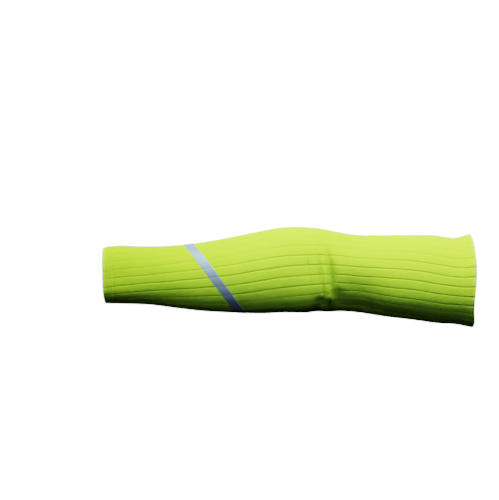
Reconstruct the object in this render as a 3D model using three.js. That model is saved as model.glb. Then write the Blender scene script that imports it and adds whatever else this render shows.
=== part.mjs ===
// Cycling arm sleeve: a seamless ribbed knit tube in the shape it takes on a slightly bent arm, with a
// turned welt at each end and a slanted reflective stripe round the forearm. Millimetres, +Z up. The wrist
// is at -X, the upper arm at +X and the front at -Y. The origin is on the arm's axis at the elbow crease.
import * as THREE from "three";

// Driving dimensions
const wristEnd = -248; // middle of the wrist edge, along X
const upperEnd = 146.5; // middle of the upper arm edge, along X
const ringLean = 0.03; // each ring of the sleeve leans this far along -X per millimetre of height
const knitWall = 1.6; // thickness of the knit at the top of a rib
const ribCount = 26;
const grooveShare = 0.22; // width of the groove between two ribs, as a share of the rib pitch
const grooveDepth = 0.5;
const wristWeltWidth = 10;
const upperWeltWidth = 12;
const weltRise = 0.1; // the doubled knit of a welt stands this far proud of the ribs
const weltWall = 2.4;
const weltGrooveDepth = 0.4;
const seamGap = 0.3; // clearance between neighbouring pieces
const stripeMiddle = -130.2; // where the stripe crosses the arm's axis height, along X
const stripeSlant = 0.673; // how far the stripe runs along X per millimetre that it drops
const stripeFlare = 0.146; // share by which it runs further than that at the very top
const stripeSpan = 11.2; // width of the stripe along X
const stripeTaper = 0.16; // share of that width which is lost at the bottom
const stripeFilm = 0.5;
const stripeSteps = 72;
const plainStep = 24; // spacing of the rings along the smooth stretches
const creaseStep = 3.5; // spacing of the rings where the elbow creases are
const creaseStart = -32;
const creaseEnd = 12;

// The form that the knit takes, wrist to upper arm: the outline from the front (top and bottom), half the
// depth from front to back, how far the ring's centre lies behind the XZ plane, how square the ring is (2 is
// an ellipse), the angle of the first groove from the front downwards, and how much wider the front ribs are
const sectionColumns = [
  "along", "top", "bottom", "halfDepth", "behind", "squareness", "ribTurn", "ribSpread",
];
const sections = [
  [-249, 25, -34.9, 26, -4, 2.5, 21.6, 0.16], // wrist edge
  [-236, 27, -35.3, 27, -3.6, 2.5, 19.3, 0.16],
  [-202, 26.3, -36.5, 28.5, -2, 2.3, 12.6, 0.15],
  [-167, 27.7, -40.8, 32.3, -0.4, 2.1, 5.3, 0.15],
  [-141, 31, -43.6, 36.5, 1, 2.05, 2, 0.13],
  [-111, 36.4, -45.2, 40, 2.2, 2.05, -0.2, 0.11],
  [-81, 42.6, -46.1, 43.5, 3.2, 2.1, -3.3, 0.05], // belly of the forearm
  [-55, 47, -45.1, 45, 4, 2.2, -4.7, 0],
  [-33, 47.4, -45.9, 45, 4.4, 2.3, -7.1, -0.05],
  [-12, 45.3, -46.4, 44.5, 4.6, 2.3, -9.8, -0.05],
  [5, 41.8, -46.4, 44, 4.4, 2.1, -11.8, -0.05], // elbow crease
  [23, 38.9, -48.2, 45, 3.8, 2, -12.9, -0.05],
  [49, 38.4, -51.4, 47, 2.4, 2, -13.1, -0.06],
  [83, 38.6, -53.6, 49, 0.6, 2.1, -10.7, -0.07],
  [109, 38.3, -56.6, 50.5, -0.8, 2.1, -7.2, -0.09],
  [130, 35.6, -57.8, 50.5, -1.8, 2.05, -6.4, -0.11], // end of the biceps
  [147, 40, -61.1, 52.5, -2.6, 2, -6.2, -0.12], // upper arm edge
];

// Creases and hollows round the elbow and flat stretches of the knit: place along X at the front, drift
// along X per degree downwards and per squared degree, the angle where the fold is highest or deepest, how
// far it reaches up and down from there in degrees, its half width along X, and its rise (minus in a valley)
const creases = [
  // the roll inside the elbow between its two valleys
  { along: -16.9, drift: 0.08, bend: 0, peak: 12, up: 58, down: 52, halfWidth: 3, rise: -2.6 },
  { along: -13.1, drift: 0.074, bend: 0.0016, peak: 36, up: 64, down: 20, halfWidth: 3.8, rise: 3 },
  { along: -4.6, drift: 0.11, bend: -0.0016, peak: 9, up: 57, down: 60, halfWidth: 4, rise: -5.4 },
  // the pit and the hollows round the roll's lower end
  { along: -28.3, drift: 0.25, bend: 0, peak: 48, up: 16, down: 34, halfWidth: 5, rise: -2.6 },
  { along: -19, drift: 0, bend: 0, peak: 66, up: 50, down: 60, halfWidth: 9, rise: -2.6 },
  { along: -1, drift: 0.05, bend: 0, peak: 44, up: 30, down: 60, halfWidth: 7.5, rise: -4.2 },
  // the broad hollow of the elbow crease
  { along: 21, drift: 0, bend: 0, peak: 35, up: 63, down: 86, halfWidth: 29, rise: -7 },
  // flat stretches: underneath at the elbow, the wrist and the upper arm, and in front on the lower forearm
  { along: 30, drift: 0, bend: 0, peak: 80, up: 46, down: 40, halfWidth: 45, rise: -3 },
  { along: -245, drift: 0, bend: 0, peak: 62, up: 36, down: 28, halfWidth: 75, rise: -2 },
  { along: 75, drift: 0, bend: 0, peak: 62, up: 40, down: 28, halfWidth: 75, rise: -2.6 },
  { along: -178, drift: 0, bend: 0, peak: 36, up: 34, down: 44, halfWidth: 26, rise: -0.8 },
];

const wristSeam = wristEnd + wristWeltWidth;
const upperSeam = upperEnd - upperWeltWidth;
const ribAngle = (2 * Math.PI) / ribCount;
const pointsPerRib = [
  { share: 0, sunk: 1 }, // bottom of the groove
  { share: grooveShare / 2, sunk: 0 },
  { share: 1 - grooveShare / 2, sunk: 0 },
];
const aroundCount = ribCount * pointsPerRib.length;

const armForm = new THREE.CubicInterpolant(
  Float32Array.from(sections, ([along]) => along),
  Float32Array.from(sections.flatMap(([, ...values]) => values)),
  sectionColumns.length - 1,
);

// The ring of the arm's form at one place along X
function ringAt(along) {
  const [top, bottom, halfDepth, behind, squareness, ribTurn, ribSpread] = armForm.evaluate(along);
  return {
    middle: (top + bottom) / 2,
    halfHeight: (top - bottom) / 2,
    halfDepth,
    behind,
    squareness,
    ribTurn: THREE.MathUtils.degToRad(ribTurn),
    ribSpread,
  };
}

// How far the creases lift or sink the knit at one place
function creaseLift(along, angle) {
  const wrapped = THREE.MathUtils.euclideanModulo(angle + Math.PI, 2 * Math.PI) - Math.PI;
  const degrees = THREE.MathUtils.radToDeg(wrapped);
  return creases.reduce((lift, fold) => {
    const away = degrees - fold.peak;
    const share = Math.min(1, Math.abs(away) / (away < 0 ? fold.up : fold.down));
    const line = fold.along + fold.drift * degrees + fold.bend * degrees ** 2;
    const bell = Math.exp(-(((along - line) / fold.halfWidth) ** 2));
    return lift + fold.rise * Math.cos((share * Math.PI) / 2) ** 2 * bell;
  }, 0);
}

// A point of the sleeve: angle 0 faces the front and a quarter turn is at the bottom, and lift is measured
// outwards from the tops of the ribs. The ring's depth and height, each over its half size and to the power
// of the squareness, add up to one
function sleevePoint(along, angle, lift) {
  const ring = ringAt(along);
  const power = ring.squareness;
  const reach = (Math.abs(Math.cos(angle)) ** power + Math.abs(Math.sin(angle)) ** power) ** (-1 / power);
  const front = Math.cos(angle) * reach;
  const down = Math.sin(angle) * reach;
  const outwards = new THREE.Vector2(
    (Math.sign(front) * Math.abs(front) ** (power - 1)) / ring.halfDepth,
    (Math.sign(down) * Math.abs(down) ** (power - 1)) / ring.halfHeight,
  ).normalize();
  const raised = lift + creaseLift(along, angle);
  const depth = ring.halfDepth * front + raised * outwards.x;
  const drop = ring.halfHeight * down + raised * outwards.y;
  return new THREE.Vector3(along + ringLean * drop, ring.behind - depth, ring.middle - drop);
}

// The angle of a knit column at one place along X: an even share of the turn from the first groove, shifted
// so that the ribs in front are wider or narrower than those behind
function columnAngle(along, column) {
  const rib = Math.floor(column / pointsPerRib.length);
  const { ribTurn, ribSpread } = ringAt(along);
  const even = ribTurn + (rib + pointsPerRib[column % pointsPerRib.length].share) * ribAngle;
  return even + ribSpread * Math.sin(even);
}

// A surface closed both ways round, as the skin of a tube's wall is: pointAt gives the point of a column
// and row
function closedGrid(columns, rows, pointAt) {
  const positions = [];
  const index = [];
  for (let row = 0; row < rows; row++) {
    for (let column = 0; column < columns; column++) {
      positions.push(...pointAt(column, row));
      const nextRow = ((row + 1) % rows) * columns;
      const nextColumn = (column + 1) % columns;
      const here = row * columns + column;
      const beside = row * columns + nextColumn;
      index.push(here, beside, nextRow + column);
      index.push(beside, nextRow + nextColumn, nextRow + column);
    }
  }
  const geometry = new THREE.BufferGeometry();
  geometry.setAttribute("position", new THREE.Float32BufferAttribute(positions, 3));
  geometry.setIndex(index);
  geometry.computeVertexNormals();
  return geometry;
}

// Evenly spaced places from start to end, both included
function spaced(start, end, step) {
  const count = Math.ceil((end - start) / step);
  return Array.from({ length: count + 1 }, (_, i) => start + ((end - start) * i) / count);
}

// A ring of knit from a wall profile: each row of the profile has its place along X, its lift above the ribs
// and the depth of the grooves there
function knitRing(profile) {
  return closedGrid(aroundCount, profile.length, (column, row) => {
    const { along, lift, groove } = profile[row];
    const sunk = pointsPerRib[column % pointsPerRib.length].sunk * groove;
    return sleevePoint(along, columnAngle(along, column), lift - sunk);
  });
}

function ribbedTube() {
  const places = [
    ...spaced(wristSeam + seamGap, creaseStart, plainStep).slice(0, -1),
    ...spaced(creaseStart, creaseEnd, creaseStep).slice(0, -1),
    ...spaced(creaseEnd, upperSeam - seamGap, plainStep),
  ];
  const outside = places.map((along) => ({ along, lift: 0, groove: grooveDepth }));
  const inside = places.toReversed().map((along) => ({ along, lift: -knitWall, groove: 0 }));
  return knitRing([...outside, ...inside]);
}

// A doubled edge, folded round at the free end: toEdge is -1 at the wrist and 1 at the upper arm
function welt(seam, edge, toEdge) {
  const foldRadius = weltWall / 2;
  const turn = edge - toEdge * foldRadius; // where the fold begins
  const cheek = edge - toEdge * foldRadius * (1 - Math.SQRT1_2);
  const outer = weltRise;
  const inner = weltRise - weltWall;
  const halfway = (outer + inner) / 2;
  const profile = [
    { along: seam, lift: outer, groove: weltGrooveDepth },
    { along: turn, lift: outer, groove: weltGrooveDepth },
    { along: cheek, lift: halfway + foldRadius * Math.SQRT1_2, groove: weltGrooveDepth / 2 },
    { along: edge, lift: halfway, groove: 0 },
    { along: cheek, lift: halfway - foldRadius * Math.SQRT1_2, groove: 0 },
    { along: turn, lift: inner, groove: 0 },
    { along: seam, lift: inner, groove: 0 },
  ];
  return knitRing(toEdge > 0 ? profile : profile.reverse());
}

// A film slanted round the forearm, just clear of the ribs: each edge runs along X with the drop, and above
// the axis a little more with its cube
function reflectiveStripe() {
  const corners = [
    { side: -1, lift: seamGap + stripeFilm },
    { side: 1, lift: seamGap + stripeFilm },
    { side: 1, lift: seamGap },
    { side: -1, lift: seamGap },
  ];
  return closedGrid(stripeSteps, corners.length, (column, row) => {
    const angle = (column / stripeSteps) * 2 * Math.PI;
    const { side, lift } = corners[row];
    const down = Math.sin(angle);
    const halfSpan = (stripeSpan / 2) * (1 - stripeTaper * Math.max(0, down) ** 2);
    const run = stripeSlant * (down + stripeFlare * Math.min(0, down) ** 3);
    let along = stripeMiddle;
    for (let turn = 0; turn < 5; turn++) {
      along = stripeMiddle + side * halfSpan + run * ringAt(along).halfHeight;
    }
    return sleevePoint(along, angle, lift);
  });
}

const knitYellow = new THREE.MeshStandardMaterial({ color: 0xc4e03f, roughness: 0.9, metalness: 0 });
const weltYellow = new THREE.MeshStandardMaterial({ color: 0xb4d83a, roughness: 0.9, metalness: 0 });
const reflectiveGrey = new THREE.MeshStandardMaterial({ color: 0x9aa6bd, roughness: 0.45, metalness: 0.3 });

const sleeve = new THREE.Group();
function add(name, geometry, material) {
  const mesh = new THREE.Mesh(geometry, material);
  mesh.name = name;
  sleeve.add(mesh);
}
add("ribbed_tube", ribbedTube(), knitYellow);
add("wrist_welt", welt(wristSeam, wristEnd, -1), weltYellow);
add("upper_welt", welt(upperSeam, upperEnd, 1), weltYellow);
add("reflective_stripe", reflectiveStripe(), reflectiveGrey);

export default sleeve;
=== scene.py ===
# Cycling arm sleeve: a ribbed knit tube with a turned welt at each end and a slanted reflective stripe
import bpy
import numpy as np
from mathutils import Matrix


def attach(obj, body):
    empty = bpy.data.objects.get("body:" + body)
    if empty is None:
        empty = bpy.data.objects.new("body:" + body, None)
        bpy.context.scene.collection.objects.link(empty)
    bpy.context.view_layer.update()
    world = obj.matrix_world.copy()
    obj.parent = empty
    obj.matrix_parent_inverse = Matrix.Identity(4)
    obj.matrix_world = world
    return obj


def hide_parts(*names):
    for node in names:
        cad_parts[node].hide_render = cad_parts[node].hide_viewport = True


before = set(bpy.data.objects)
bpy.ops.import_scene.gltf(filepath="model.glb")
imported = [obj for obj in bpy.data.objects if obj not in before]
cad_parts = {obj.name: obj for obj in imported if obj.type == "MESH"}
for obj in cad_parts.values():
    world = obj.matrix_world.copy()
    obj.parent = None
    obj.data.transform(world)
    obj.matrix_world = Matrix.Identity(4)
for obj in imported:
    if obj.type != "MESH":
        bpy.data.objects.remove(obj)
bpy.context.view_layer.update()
mm = 0.001  # the shapes below are worked out in millimetres
print("frame loaded")

# The form that the knit takes when it is worn: each list runs from the wrist end to the upper end, with a
# value for each place along X
wornForm = {
    "along":      [-249, -236, -202, -167, -141, -111, -81, -55, -33,
                   -12, 5, 23, 49, 83, 109, 130, 147],
    # the outline seen from the front, and half the depth
    "top":        [25.0, 27.0, 26.3, 27.7, 31.0, 36.4, 42.6, 47.0, 47.4,
                   45.3, 41.8, 38.9, 38.4, 38.6, 38.3, 35.6, 40.0],
    "bottom":     [-34.9, -35.3, -36.5, -40.8, -43.6, -45.2, -46.1, -45.1, -45.9,
                   -46.4, -46.4, -48.2, -51.4, -53.6, -56.6, -57.8, -61.1],
    "halfDepth":  [26.0, 27.0, 28.5, 32.3, 36.5, 40.0, 43.5, 45.0, 45.0,
                   44.5, 44.0, 45.0, 47.0, 49.0, 50.5, 50.5, 52.5],
    # how far the ring's centre lies behind the X axis
    "behind":     [-4.0, -3.6, -2.0, -0.4, 1.0, 2.2, 3.2, 4.0, 4.4,
                   4.6, 4.4, 3.8, 2.4, 0.6, -0.8, -1.8, -2.6],
    # how square the ring is: 2 is an ellipse
    "squareness": [2.5, 2.5, 2.3, 2.1, 2.05, 2.05, 2.1, 2.2, 2.3,
                   2.3, 2.1, 2.0, 2.0, 2.1, 2.1, 2.05, 2.0],
    # the angle of the first groove in degrees, and how much wider the ribs are at the front than their mean
    "ribTurn":    [21.6, 19.3, 12.6, 5.3, 2.0, -0.2, -3.3, -4.7, -7.1,
                   -9.8, -11.8, -12.9, -13.1, -10.7, -7.2, -6.4, -6.2],
    "ribSpread":  [0.16, 0.16, 0.15, 0.15, 0.13, 0.11, 0.05, 0.0, -0.05,
                   -0.05, -0.05, -0.05, -0.06, -0.07, -0.09, -0.11, -0.12],
    # the sines of the angles where the fading of the grooves ends on top and starts again underneath
    "wholeFrom":  [0.75, 0.75, 0.6, 0.4, 0.2, 0.0, -0.1, -0.2, -0.35,
                   -0.4, -0.35, -0.3, -0.3, -0.35, -0.35, -0.35, -0.35],
    "wholeTo":    [0.6, 0.6, 0.65, 0.65, 0.6, 0.5, 0.4, 0.36, 0.36,
                   0.4, 0.42, 0.45, 0.5, 0.5, 0.5, 0.5, 0.5],
    "ringLean": 0.03,  # each ring leans this far along -X per millimetre of height
}


def formAt(along, column):
    # A cubic between each two places, whose slope at a place is the mean of the slopes on its two sides
    places = np.array(wornForm["along"], float)
    values = np.array(wornForm[column], float)
    step = np.diff(places)
    slope = np.diff(values) / step
    tangent = np.concatenate([slope[:1], (slope[:-1] + slope[1:]) / 2, slope[-1:]])
    i = np.clip(np.searchsorted(places, along) - 1, 0, len(step) - 1)
    t = (along - places[i]) / step[i]
    rise = values[i + 1] - values[i]
    leave, arrive = tangent[i] * step[i], tangent[i + 1] * step[i]
    return values[i] + t * (leave + t * (3 * rise - 2 * leave - arrive + t * (leave + arrive - 2 * rise)))


def smoothStep(t):
    # Three times the square of t less twice its cube, with t held between 0 and 1
    t = np.clip(t, 0, 1)
    return t * t * (3 - 2 * t)


def wrapDegrees(angle):
    # The angle in degrees, between half a turn up and half a turn down from the front
    return np.degrees((angle + np.pi) % (2 * np.pi) - np.pi)


def reachFade(degrees, peak, up, down):
    # A squared cosine that falls from one at the peak to nothing at the end of the reach up or down
    away = degrees - peak
    share = np.minimum(1, np.abs(away) / np.where(away < 0, up, down))
    return np.cos(share * np.pi / 2) ** 2


# Creases inside the sleeve's elbow, then broad hollows and a flat stretch of the knit, a column for each
creases = {
    "along":     [-29.8, -16.9, -4.6, -13.1, -28.3, -19, -1, 21, 30, -245, 75, -178],  # place at the front
    "drift":     [0.06, 0.08, 0.11, 0.074, 0.25, 0, 0.05, 0, 0, 0, 0, 0],  # along X per degree downwards
    "bend":      [0, 0, -0.0016, 0.0016, 0, 0, 0, 0, 0, 0, 0, 0],  # along X per squared degree
    "peak":      [-6, 12, 9, 36, 48, 66, 44, 35, 80, 62, 62, 36],  # angle where it is deepest or highest
    "up":        [18, 58, 57, 64, 16, 50, 30, 63, 46, 36, 40, 34],  # reach from the peak in degrees
    "down":      [30, 52, 60, 20, 34, 60, 60, 86, 40, 28, 28, 44],
    "halfWidth": [2, 2.5, 3.4, 3.8, 5, 9, 7.5, 29, 45, 75, 75, 26],  # along X
    "sharpness": [1.3, 1.3, 1.35, 2, 2, 2, 2, 2, 2, 2, 2, 2],  # 2 is round, 1 is a sharp crease
    "rise":      [-1.2, -3.4, -6.4, 3, -2.6, -2.6, -4.2, -7, -3, -2, -2.6, -0.8],
}
roundFrom = 1.5  # creases under this sharpness get painted shade


def creaseParts(along, angle):
    # The lift of each crease by itself: a bell across its line, faded by a squared cosine towards its ends
    degrees = wrapDegrees(angle)
    for place, drift, bend, peak, up, down, halfWidth, sharpness, rise in zip(*creases.values()):
        line = place + drift * degrees + bend * degrees ** 2
        bell = np.exp(-(np.abs((along - line) / halfWidth) ** sharpness))
        yield sharpness, rise * reachFade(degrees, peak, up, down) * bell


def creaseLift(along, angle):
    # The sum of the creases
    return sum(lift for _, lift in creaseParts(along, angle))


def creaseShadeDepth(along, angle):
    # How deep the sharp creases alone go, for their painted shade
    return -sum(lift for sharpness, lift in creaseParts(along, angle) if sharpness < roundFrom)


# The upper edge is drawn back along -X a little below the front
drawBack = {
    "by": 3.1,
    "peak": 33,  # angle where it is drawn back most, and the reach from there in degrees
    "up": 58,
    "down": 40,
    "start": 100,  # it grows from here along X to the end
    "end": 146,
}


def edgeDraw(along, angle):
    # A smooth step along X times a squared cosine round the ring
    grown = smoothStep((along - drawBack["start"]) / (drawBack["end"] - drawBack["start"]))
    fade = reachFade(wrapDegrees(angle), drawBack["peak"], drawBack["up"], drawBack["down"])
    return -drawBack["by"] * grown * fade


def sleevePoint(along, angle, lift):
    # A leaning ring round the sleeve's axis: angle 0 faces the front and a quarter turn is at the bottom.
    # The ring's depth and height, each over its half size and to the power of the squareness, add up to one.
    # Lift goes out along the ring's normal from the tops of the ribs
    top, bottom, halfDepth = (formAt(along, column) for column in ("top", "bottom", "halfDepth"))
    halfHeight, power = (top - bottom) / 2, formAt(along, "squareness")
    front, down = np.cos(angle), np.sin(angle)
    reach = (np.abs(front) ** power + np.abs(down) ** power) ** (-1 / power)
    front, down = front * reach, down * reach
    outDepth = np.sign(front) * np.abs(front) ** (power - 1) / halfDepth
    outDrop = np.sign(down) * np.abs(down) ** (power - 1) / halfHeight
    raised = (lift + creaseLift(along, angle)) / np.hypot(outDepth, outDrop)
    depth = halfDepth * front + raised * outDepth
    drop = halfHeight * down + raised * outDrop
    place = along + wornForm["ringLean"] * drop + edgeDraw(along, angle)
    return np.stack([place, formAt(along, "behind") - depth, (top + bottom) / 2 - drop], axis=-1)


# How the knit is made: every rib is some plain wales beside one sunk wale, which is the groove
knit = {
    "ribs": 26,
    "walesPerRib": 8,
    "courseHeight": 1.05,
    "wall": 1.6,
    "ribCrown": 0.12,  # how far a rib's shoulders lie below its middle
    "waleRelief": 0.08,
    "grooveDepth": 0.5,
    "grooveHalfWidth": 0.5,  # in wales
    "wander": 0.25,  # how far a groove strays from its line
    "wanderLengths": (37, 61, 113),  # lengths of the waves in which it strays
    "wanderSeed": 11,
    "flatGroove": 0.22,  # share of a groove that is left where the knit is pulled flat
    "flatOnTop": -0.7,  # sine of the angle above which the knit is flat
    "fadeBelow": 0.35,  # how much the sine grows while the grooves fade underneath
    "flatSize": (0.19, 0.385),  # metres round and along, relaxed, not worn
}
walesRound = knit["ribs"] * knit["walesPerRib"]


def ribAngle(along, wale):
    # The angle of a wale: an even share of the turn, shifted by a sine that widens the ribs at the front,
    # with the mean of some sines along each groove for its straying
    rng = np.random.default_rng(knit["wanderSeed"])
    rib = np.round(wale / knit["walesPerRib"]).astype(int) % knit["ribs"]
    stray = 0
    for length in knit["wanderLengths"]:
        waves = along / length + rng.random(knit["ribs"])[rib]
        stray = stray + np.sin(2 * np.pi * waves) / len(knit["wanderLengths"])
    even = np.radians(formAt(along, "ribTurn")) + wale / walesRound * 2 * np.pi
    spread = formAt(along, "ribSpread") * np.sin(even)
    return even + spread + knit["wander"] * stray / formAt(along, "halfDepth")


def ribLift(wale, grooveDepth):
    # Across a rib: a shallow parabola, a bell-shaped groove at its edges and a cosine for each plain wale
    share = (wale / knit["walesPerRib"]) % 1
    shoulder = -knit["ribCrown"] * (2 * share - 1) ** 2
    toGroove = np.minimum(share, 1 - share) * knit["walesPerRib"]
    groove = -grooveDepth * np.exp(-((toGroove / knit["grooveHalfWidth"]) ** 2))
    wales = knit["waleRelief"] * (np.cos(2 * np.pi * wale) - 1) / 2
    return shoulder + groove + wales


def grooveShare(along, angle):
    # The product of two smooth steps in the sine of the angle, for the fading on top and underneath
    sine = np.sin(angle)
    onTop = (sine - knit["flatOnTop"]) / (formAt(along, "wholeFrom") - knit["flatOnTop"])
    below = (formAt(along, "wholeTo") + knit["fadeBelow"] - sine) / knit["fadeBelow"]
    return knit["flatGroove"] + (1 - knit["flatGroove"]) * smoothStep(onTop) * smoothStep(below)


def ribColumns():
    # Two points to a wale, at its middle and its edge, and two more on the slopes of each groove
    toEdge = 0.5
    slopes = [toEdge / 2, knit["walesPerRib"] - toEdge / 2]
    oneRib = np.sort(np.append(np.arange(0, knit["walesPerRib"], toEdge), slopes))
    return (np.arange(knit["ribs"])[:, None] * knit["walesPerRib"] + oneRib[None, :]).ravel()


def putInScene(name, data):
    # A new object that shows the data
    thing = bpy.data.objects.new(name, data)
    bpy.context.scene.collection.objects.link(thing)
    return thing


def gridMesh(name, points, maps, shades):
    # points[row, column] closes on itself both ways: each face joins a point to the next column and row
    rows, columns = points.shape[:2]
    index = np.arange(rows * columns).reshape(rows, columns)
    right = np.roll(index, -1, axis=1)
    corners = np.stack([index, right, np.roll(right, -1, axis=0), np.roll(index, -1, axis=0)], axis=-1)
    mesh = bpy.data.meshes.new(name)
    mesh.vertices.add(rows * columns)
    mesh.vertices.foreach_set("co", (points * mm).ravel().astype(np.float32))
    mesh.loops.add(corners.size)
    mesh.loops.foreach_set("vertex_index", corners.ravel().astype(np.int32))
    mesh.polygons.add(rows * columns)
    mesh.polygons.foreach_set("loop_start", np.arange(0, corners.size, 4, dtype=np.int32))
    mesh.polygons.foreach_set("use_smooth", np.ones(rows * columns, bool))
    mesh.update(calc_edges=True)
    # A map has one more row and column than the points, to close its seams
    for mapName, grid in maps.items():
        places = np.stack([grid[:-1, :-1], grid[:-1, 1:], grid[1:, 1:], grid[1:, :-1]], axis=2)
        layer = mesh.uv_layers.new(name=mapName)
        layer.data.foreach_set("uv", places.ravel().astype(np.float32))
    for shadeName, grid in shades.items():
        attribute = mesh.attributes.new(shadeName, "FLOAT", "POINT")
        attribute.data.foreach_set("value", grid.ravel().astype(np.float32))
    mesh.validate()
    print(f"{name}: {rows * columns} faces")
    return putInScene(name, mesh)


def knitMaps(along, wale):
    # One map counts wales and courses for the yarn pattern, the other spreads the surface over a unit square
    wales = np.append(wale, walesRound)
    courses = np.append(along, along[0]) / knit["courseHeight"]
    rowShare = np.linspace(0, 1, len(courses))
    return {
        "stitches": np.stack(np.meshgrid(wales, courses), axis=-1),
        "OFBake": np.stack(np.meshgrid(wales / walesRound, rowShare), axis=-1),
    }


def knitRing(name, along, lift, grooveDepth, edgeHighlight):
    # A closed wall profile, given as a place, a lift, a groove depth and a share of painted edge highlight
    # for each row, carried round the sleeve's axis
    wale = ribColumns()
    rowAlong, columnWale = along[:, None], wale[None, :]
    angle = ribAngle(rowAlong, columnWale)
    groove = grooveShare(rowAlong, angle)
    relief = ribLift(columnWale, grooveDepth[:, None] * groove) * (grooveDepth[:, None] > 0)
    points = sleevePoint(rowAlong, angle, lift[:, None] + relief)
    # Shades for the material: painted shade in the sharp creases and grooves, and a painted highlight at the
    # edges
    shades = {"creaseShade": creaseShadeDepth(rowAlong, angle), "groove": groove, "edgeHighlight": edgeHighlight[:, None] + 0 * angle}
    return gridMesh(name, points, knitMaps(along, wale), shades)


tube = {
    "start": -237.95,  # just clear of the welts
    "end": 134.45,
    "endStep": 0.1,  # keeps the rounding of the cut ends narrow
    "plainStep": 4.5,
    "creaseStep": 0.75,
    "creaseStart": -34.0,
    "creaseEnd": 12.0,
}


def spaced(start, end, step):
    # Places at even spaces from start to end, at most a step apart
    return np.linspace(start, end, int(np.ceil((end - start) / step)) + 1)


def makeTube():
    # Outside rows from the wrist end to the upper end, close together at the creases, then every second one
    # on the way back along the inside
    outside = np.unique(np.concatenate([
        [tube["start"], tube["end"]],
        spaced(tube["start"] + tube["endStep"], tube["creaseStart"], tube["plainStep"]),
        spaced(tube["creaseStart"], tube["creaseEnd"], tube["creaseStep"]),
        spaced(tube["creaseEnd"], tube["end"] - tube["endStep"], tube["plainStep"]),
    ]))
    inside = np.concatenate([outside[:0:-2], outside[:1]])
    along = np.concatenate([outside, inside])
    lift = np.concatenate([np.zeros(len(outside)), np.full(len(inside), -knit["wall"])])
    groove = np.concatenate([np.full(len(outside), knit["grooveDepth"]), np.zeros(len(inside))])
    return knitRing("knitTube", along, lift, groove, np.zeros(len(along)))


welts = {
    "wristWelt": {"edge": -248.7, "width": 10.7, "inwards": 1, "groove": 0.25, "seamRound": 0.3},
    "upperWelt": {"edge": 146.5, "width": 12.0, "inwards": -1, "groove": 0.65, "seamRound": 0.1},
}
weltProfile = {
    "rise": 0.03,  # above the ribs
    "wall": 2.2,
    "puff": 0.1,  # how far the doubled knit swells between the seam and the fold
    "edgeHighlightWidth": 2.6,  # painted highlight: the yarn is paler this near to the edge
    "hemLap": 3.0,  # the inner layer reaches this far under the tube
    "hemWall": 0.4,
    "hemGap": 0.1,
    "seamRows": 5,
    "faceRows": 9,
    "foldRows": 11,
}


def makeWelt(name):
    # The doubled edge as a closed profile: a quarter circle at the seam, an outer face that swells by a
    # sine, a half circle at the fold, the inner face and the hem's lap under the tube
    size, profile = welts[name], weltProfile
    width, seamRound, fold = size["width"], size["seamRound"], profile["wall"] / 2
    quarter = np.linspace(0, np.pi / 2, profile["seamRows"])
    face = np.linspace(0, 1, profile["faceRows"])[1:-1]
    half = np.linspace(0, np.pi, profile["foldRows"])
    seamInset = width - seamRound + seamRound * np.cos(quarter)
    seamLift = profile["rise"] - seamRound + seamRound * np.sin(quarter)
    faceInset = fold + (width - fold - seamRound) * (1 - face)
    faceLift = profile["rise"] + profile["puff"] * np.sin(np.pi * face)
    foldInset = fold - fold * np.sin(half)
    foldLift = profile["rise"] - fold + fold * np.cos(half)
    lapEnd, hemTop = width + profile["hemLap"], -knit["wall"] - profile["hemGap"]
    lapInset = np.array([width / 2, lapEnd, lapEnd, width])
    lapLift = np.array([profile["rise"] - profile["wall"], hemTop - profile["hemWall"], hemTop, hemTop])
    inset = np.concatenate([seamInset, faceInset, foldInset, lapInset])
    lift = np.concatenate([seamLift, faceLift, foldLift, lapLift])
    groove = size["groove"] * np.concatenate([np.ones(len(quarter) + len(face)), np.cos(half / 2) ** 2,
                                              np.zeros(len(lapInset))])
    along = size["edge"] + size["inwards"] * inset
    # Painted highlight, strongest at the folded edge
    edgeHighlight = np.exp(-((inset / profile["edgeHighlightWidth"]) ** 2))
    order = slice(None) if size["inwards"] < 0 else slice(None, None, -1)  # keeps the faces outwards
    return knitRing(name, along[order], lift[order], groove[order], edgeHighlight[order])


stripe = {
    "middle": -130.2,
    "slant": 0.673,  # along X per millimetre of drop
    "flare": 0.146,  # how much further it has run at the very top than a straight slant
    "span": 11.2,  # width along X
    "taper": 0.16,  # how much of the width is lost at the bottom
    "film": 0.16,
    "above": 0.1,  # clearance over the ribs
    "sag": 0.12,  # how deep the film dips into a groove
    "acrossRows": 13,
    "edgeSharpness": 20,
    "rounds": 6,  # its place depends on the drop, which depends on the place, so they are found by turns
}


def makeStripe():
    # A film slanted round the sleeve: its place along X is a straight slant of the drop, plus a part in the
    # drop's cube above the sleeve's axis. Rows go across its top, closer together towards the edges, then
    # back underneath. Its columns follow the wales, so that it dips where they have grooves
    wale = ribColumns()[None, :]
    across = -np.cos(np.linspace(0, np.pi, stripe["acrossRows"]))
    side = np.concatenate([across, across[::-1]])[:, None]
    edgeRound = np.sqrt(np.maximum(0, 1 - np.abs(across) ** stripe["edgeSharpness"]))
    height = np.concatenate([stripe["film"] * edgeRound, np.zeros(len(across))])[:, None]
    along = stripe["middle"] + 0 * (side + wale)
    for _ in range(stripe["rounds"]):
        angle = ribAngle(along, wale)
        halfHeight = (formAt(along, "top") - formAt(along, "bottom")) / 2
        drop = np.sin(angle)
        halfSpan = stripe["span"] / 2 * (1 - stripe["taper"] * np.maximum(0, drop) ** 2)
        run = halfHeight * (drop + stripe["flare"] * np.minimum(0, drop) ** 3)
        along = stripe["middle"] + side * halfSpan + stripe["slant"] * run
    sunk = ribLift(wale, stripe["sag"] * grooveShare(along, angle))
    points = sleevePoint(along, angle, stripe["above"] + height + sunk)
    turns = np.append(wale, walesRound) / walesRound
    rows = np.linspace(0, 1, len(side) + 1)
    return gridMesh("reflectiveStripe", points, {"OFBake": np.stack(np.meshgrid(turns, rows), axis=-1)}, {})


def addNode(tree, kind, **settings):
    # A new node with its settings
    node = tree.nodes.new(kind)
    for key, value in settings.items():
        setattr(node, key, value)
    return node


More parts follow.
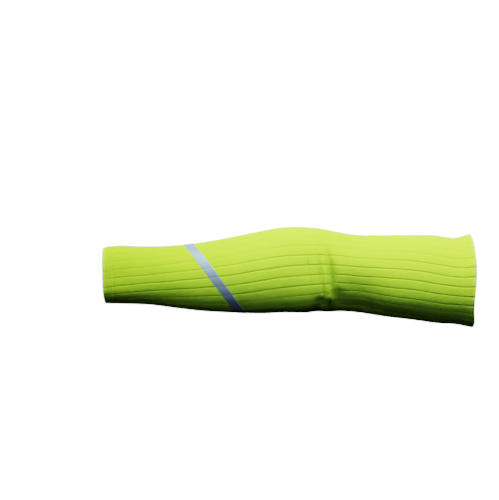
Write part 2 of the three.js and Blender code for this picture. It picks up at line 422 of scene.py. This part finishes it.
def wire(tree, value, socket):
    # A socket is linked, anything else is set as the value
    if isinstance(value, bpy.types.NodeSocket):
        tree.links.new(value, socket)
    else:
        socket.default_value = value


def calc(tree, operation, first, second=0.0, third=0.0):
    # One step of arithmetic on sockets or plain values
    node = addNode(tree, "ShaderNodeMath", operation=operation)
    for socket, value in zip(node.inputs, (first, second, third)):
        wire(tree, value, socket)
    return node.outputs[0]


def ramp(tree, value, fromLow, fromHigh, low, high):
    # A smooth step from low to high
    node = addNode(tree, "ShaderNodeMapRange", interpolation_type="SMOOTHSTEP")
    for socket, setting in zip(node.inputs, (value, fromLow, fromHigh, low, high)):
        wire(tree, setting, socket)
    return node.outputs[0]


def blendColour(tree, share, first, second):
    # The first colour, moved by the share towards the second
    node = addNode(tree, "ShaderNodeMix", data_type="RGBA")
    wire(tree, share, node.inputs["Factor"])
    wire(tree, first, node.inputs[6])  # the node's colour sockets, as it has others of the same names
    wire(tree, second, node.inputs[7])
    return node.outputs[2]


def noise(tree, vector, scale, detail):
    # A cloudy pattern between 0 and 1
    node = addNode(tree, "ShaderNodeTexNoise")
    wire(tree, vector, node.inputs["Vector"])
    node.inputs["Scale"].default_value = scale
    node.inputs["Detail"].default_value = detail
    return node.outputs["Fac"]


def bump(tree, height, distance, normal=None):
    # The normal that a relief gives, on top of another one where there is one
    node = addNode(tree, "ShaderNodeBump")
    node.inputs["Distance"].default_value = distance
    wire(tree, height, node.inputs["Height"])
    if normal is not None:
        wire(tree, normal, node.inputs["Normal"])
    return node.outputs[0]


def pointShade(tree, name):
    # What the mesh says at each point
    return addNode(tree, "ShaderNodeAttribute", attribute_name=name).outputs["Fac"]


def splitVector(tree, vector):
    # The vector's three parts
    node = addNode(tree, "ShaderNodeSeparateXYZ")
    wire(tree, vector, node.inputs[0])
    return node.outputs


def newMaterial(name, evenly):
    # evenly gives the settings that are the same all over the surface
    material = bpy.data.materials.new(name)
    material.use_nodes = True
    shader = material.node_tree.nodes["Principled BSDF"]
    for socket, setting in evenly.items():
        shader.inputs[socket].default_value = setting
    return material, material.node_tree, shader


yarn = {
    "yarnColour": (0.44, 0.88, 0.034, 1),
    "wristShade": (0.325, 0.665, 0.018, 1),  # painted shade: darker towards the wrist end, where less light falls
    "paintedShadeAndDye": (0.17, 0.40, 0.012, 1),  # painted shade in the grooves, sharp creases and between the loops, and the uneven dye
    "edgeHighlight": (0.52, 0.86, 0.075, 1),  # painted highlight: paler along the folded edges, where they catch the light
    "edgeHighlightShare": 0.9,
    "wristShadeFrom": -0.24,  # metres along X over which the painted wrist shade fades out
    "wristShadeTo": -0.06,
    "grooveShade": {"ribKnit": 0.45, "wristKnit": 0.2, "upperKnit": 0.45},  # share of painted shade in the grooves, partly the dark inside seen through the thinner knit
    "grooveEdge": (0.2, 0.9),  # the shade fades between these distances from a groove, in wales
    # painted shade between the loops
    "betweenShade": 0.2,
    "creaseShadeShare": 0.07,  # share of painted shade for each millimetre of a sharp crease
    "mottle": 0.16,
    "mottleNoise": (140, 4),  # scale and detail
    "legLean": 0.6,  # in courses, from a wale's middle to its edge
    "legWave": 0.3,  # how much of a leg's height comes and goes along the wale
    "loopHeight": 0.00022,
    "fuzzHeight": 0.00004,
    "fuzzNoise": (2600, 3),
    "evenly": {
        "Roughness": 0.9,
        "Specular IOR Level": 0.05,
        "Sheen Weight": 0.08,
        "Sheen Tint": (0.6, 1.0, 0.12, 1),
    },
}


def knitMaterial(name):
    # Each stitch is a V of two leaning legs: across a wale the height is a sine with one hump a leg, and
    # along it a cosine whose phase runs with the distance from the wale's middle
    material, tree, shader = newMaterial(name, yarn["evenly"])
    place = addNode(tree, "ShaderNodeTexCoord").outputs["Object"]
    stitch = splitVector(tree, addNode(tree, "ShaderNodeUVMap", uv_map="stitches").outputs[0])
    wale, course = stitch[0], stitch[1]
    fromMiddle = calc(tree, "MULTIPLY", calc(tree, "PINGPONG", wale, 0.5), 2.0)
    leg = calc(tree, "SINE", calc(tree, "MULTIPLY", fromMiddle, np.pi))
    leaning = calc(tree, "MULTIPLY_ADD", fromMiddle, -yarn["legLean"], course)
    wave = calc(tree, "COSINE", calc(tree, "MULTIPLY", leaning, 2 * np.pi))
    loop = calc(tree, "MULTIPLY_ADD", wave, yarn["legWave"], 1 - yarn["legWave"])
    height = calc(tree, "MULTIPLY", leg, loop)
    # Shares of the shade colour: painted shade in the grooves or sharp creases and between the loops, and an
    # uneven dye
    toGroove = calc(tree, "PINGPONG", wale, knit["walesPerRib"] / 2)
    grooveShade = ramp(tree, toGroove, *yarn["grooveEdge"], yarn["grooveShade"][name], 0.0)
    inGroove = calc(tree, "MULTIPLY", grooveShade, pointShade(tree, "groove"))
    inCrease = calc(tree, "MULTIPLY", pointShade(tree, "creaseShade"), yarn["creaseShadeShare"])
    between = calc(tree, "MULTIPLY", calc(tree, "SUBTRACT", 1.0, height), yarn["betweenShade"])
    uneven = noise(tree, place, *yarn["mottleNoise"])
    mottle = calc(tree, "MULTIPLY_ADD", uneven, yarn["mottle"], -yarn["mottle"] / 2)
    shade = calc(tree, "MAXIMUM", inGroove, inCrease)
    paintedShadeAndDyeShare = calc(tree, "ADD", calc(tree, "ADD", shade, between), mottle)
    # Painted shade: darker towards the wrist end
    wristShadeShare = ramp(tree, splitVector(tree, place)[0], yarn["wristShadeFrom"], yarn["wristShadeTo"], 1.0, 0.0)
    # Painted highlight: paler along the folded edges
    edgeHighlightShare = calc(tree, "MULTIPLY", pointShade(tree, "edgeHighlight"), yarn["edgeHighlightShare"])
    body = blendColour(tree, wristShadeShare, yarn["yarnColour"], yarn["wristShade"])
    body = blendColour(tree, edgeHighlightShare, body, yarn["edgeHighlight"])
    wire(tree, blendColour(tree, paintedShadeAndDyeShare, body, yarn["paintedShadeAndDye"]), shader.inputs["Base Color"])
    loops = bump(tree, height, yarn["loopHeight"])
    fuzz = noise(tree, place, *yarn["fuzzNoise"])
    wire(tree, bump(tree, fuzz, yarn["fuzzHeight"], loops), shader.inputs["Normal"])
    return material


film = {
    "light": (0.17, 0.267, 0.352, 1),
    "dark": (0.124, 0.197, 0.263, 1),
    "darkShare": -0.2,  # to which the two noises add their shares
    "cloudShare": 0.5,
    "grainShare": 0.5,
    "cloudNoise": (90, 3),  # scale and detail
    "grainNoise": (3200, 2),
    "beadHeight": 0.00003,
    "evenly": {
        "Metallic": 0.28,
        "Roughness": 0.46,
        "Specular IOR Level": 0.15,
        "Sheen Weight": 0.25,
        "Sheen Roughness": 0.5,
        "Sheen Tint": (0.75, 0.9, 1.0, 1),
    },
}


def filmMaterial():
    # Glass beads in a grey binder: fine grain in the colour and the bump, and broad clouds in the colour
    material, tree, shader = newMaterial("reflectiveFilm", film["evenly"])
    place = addNode(tree, "ShaderNodeTexCoord").outputs["Object"]
    cloud, grain = noise(tree, place, *film["cloudNoise"]), noise(tree, place, *film["grainNoise"])
    share = calc(tree, "MULTIPLY_ADD", grain, film["grainShare"], film["darkShare"])
    share = calc(tree, "MULTIPLY_ADD", cloud, film["cloudShare"], share)
    wire(tree, blendColour(tree, share, film["light"], film["dark"]), shader.inputs["Base Color"])
    wire(tree, bump(tree, grain, film["beadHeight"]), shader.inputs["Normal"])
    return material


def dress(piece, material, node):
    # The piece's finish, and the solid in the frame that it takes the place of
    piece.data.materials.append(material)
    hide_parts(node)
    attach(piece, "root")


knitTube = makeTube()
wristWelt = makeWelt("wristWelt")
upperWelt = makeWelt("upperWelt")
reflectiveStripe = makeStripe()
dress(knitTube, knitMaterial("ribKnit"), "ribbed_tube")
dress(wristWelt, knitMaterial("wristKnit"), "wrist_welt")
dress(upperWelt, knitMaterial("upperKnit"), "upper_welt")
dress(reflectiveStripe, filmMaterial(), "reflective_stripe")
print("pieces dressed")

studio = {
    "floorHeight": -0.9,
    "floorSize": 30.0,
    "white": 4.0,  # what the floor and the surround give off
    "shownWhite": 16.5,  # the brightness that they are lifted to in the picture
    "liftFrom": 3.2,  # everything up to this brightness stays as it is
    "lights": {  # azimuth from the front towards +X, elevation, distance, size, power and colour
        "key": (-8, 65, 2.0, 2.0, 170, (1, 1, 1)),
        "fill": (-10, 23, 2.5, 1.0, 15.2, (0.95, 1, 1.6)),
        "backLeft": (-145, 35, 2.2, 1.2, 28, (1, 1, 1)),
        "backRight": (145, 35, 2.2, 1.2, 28, (1, 1, 1)),
    },
}


def makeFloor():
    # A white square that only the camera sees
    half, height = studio["floorSize"] / 2, studio["floorHeight"]
    mesh = bpy.data.meshes.new("floor")
    corners = [(-half, -half, height), (half, -half, height), (half, half, height), (-half, half, height)]
    mesh.from_pydata(corners, [], [(0, 1, 2, 3)])
    floor = putInScene("floor", mesh)
    material = bpy.data.materials.new("paleFloor")
    material.use_nodes = True
    tree = material.node_tree
    tree.nodes.clear()
    glow = addNode(tree, "ShaderNodeEmission")
    glow.inputs["Strength"].default_value = studio["white"]
    wire(tree, glow.outputs[0], addNode(tree, "ShaderNodeOutputMaterial").inputs["Surface"])
    mesh.materials.append(material)
    for ray in ("diffuse", "glossy", "transmission", "shadow"):
        setattr(floor, f"visible_{ray}", False)


def makeSurround():
    # White all round, which only the camera sees too
    world = bpy.data.worlds.new("surround")
    world.use_nodes = True
    background = world.node_tree.nodes["Background"]
    background.inputs["Color"].default_value = (1, 1, 1, 1)
    background.inputs["Strength"].default_value = studio["white"]
    for ray in ("diffuse", "glossy", "transmission", "scatter"):
        setattr(world.cycles_visibility, ray, False)
    bpy.context.scene.world = world


def makeLights():
    # Soft square lights that face the origin, each at its distance in the direction that two angles give
    for name, (azimuth, elevation, distance, size, power, colour) in studio["lights"].items():
        light = bpy.data.lights.new(name, "AREA")
        light.size, light.energy, light.color = size, power, colour
        turn, lift = np.radians(azimuth), np.radians(elevation)
        lamp = putInScene(name, light)
        lamp.location = distance * np.array([np.sin(turn) * np.cos(lift), -np.cos(turn) * np.cos(lift),
                                             np.sin(lift)])
        lamp.rotation_euler = (np.pi / 2 - lift, 0, turn)
        lamp.visible_camera = False


camera = {
    "place": (-0.0923, -1.7, 0.0225),
    "sensor": 36.0,
    "viewWidth": 0.54,  # what the frame takes in at the sleeve's axis, in metres
}


def makeCamera():
    # Level with the sleeve and square to it; the lens follows from the width that the frame takes in
    lens = bpy.data.cameras.new("camera")
    lens.sensor_width = camera["sensor"]
    lens.lens = camera["sensor"] * -camera["place"][1] / camera["viewWidth"]
    eye = putInScene("camera", lens)
    eye.location = camera["place"]
    eye.rotation_euler = (np.pi / 2, 0, 0)
    bpy.context.scene.camera = eye


def setView():
    # A film-like view with a tone curve that is straight up to the brightest knit, and then lifts the floor
    # and the surround to white
    view = bpy.context.scene.view_settings
    view.view_transform, view.look = "Filmic", "None"
    view.use_curve_mapping = True
    mapping = view.curve_mapping
    mapping.clip_max_x = mapping.clip_max_y = 2 * studio["shownWhite"]
    points = mapping.curves[3].points  # the curve for the three colours together
    points[1].location = (studio["liftFrom"], studio["liftFrom"])
    points.new(studio["white"], studio["shownWhite"])
    for point in points:
        point.handle_type = "VECTOR"
    mapping.update()


makeFloor()
makeSurround()
makeLights()
makeCamera()
setView()
print("studio ready")
